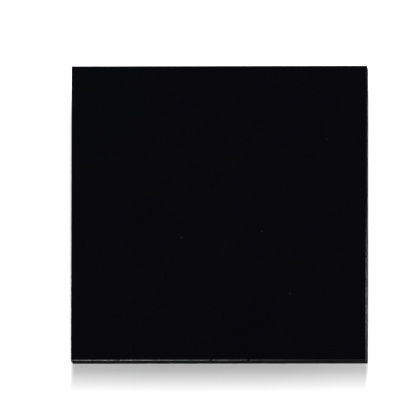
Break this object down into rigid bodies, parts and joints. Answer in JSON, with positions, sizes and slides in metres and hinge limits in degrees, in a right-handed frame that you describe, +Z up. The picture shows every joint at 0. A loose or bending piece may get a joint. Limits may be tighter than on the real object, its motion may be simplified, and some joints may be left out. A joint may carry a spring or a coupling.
{
  "type": "audio amplifier chip",
  "caption": "Square wafer-level chip-scale package of an audio amplifier: a sawn silicon die with a black back film and a grid of solder balls underneath.",
  "frame": {"origin": "under the middle ball, on the plane that the solder balls stand on", "axes": "+Z up out of the black film, +Y towards ball row a, +X towards ball column 3"},
  "size_m": [0.0016, 0.0016, 0.0006],
  "materials": {
    "film": "satin black film",
    "silicon": "sawn silicon",
    "polymer": "dark glossy insulating layer",
    "pad_metal": "plated copper",
    "solder": "dull reflowed tin solder"
  },
  "bodies": {
    "root": {"silicon_die": "silicon", "back_film": "film", "polymer_layer": "polymer", "pad_a1": "pad_metal", "pad_a2": "pad_metal", "pad_a3": "pad_metal", "pad_b1": "pad_metal", "pad_b2": "pad_metal", "pad_b3": "pad_metal", "pad_c1": "pad_metal", "pad_c2": "pad_metal", "pad_c3": "pad_metal", "ball_a1": "solder", "ball_a2": "solder", "ball_a3": "solder", "ball_b1": "solder", "ball_b2": "solder", "ball_b3": "solder", "ball_c1": "solder", "ball_c2": "solder", "ball_c3": "solder"}
  },
  "joints": []
}
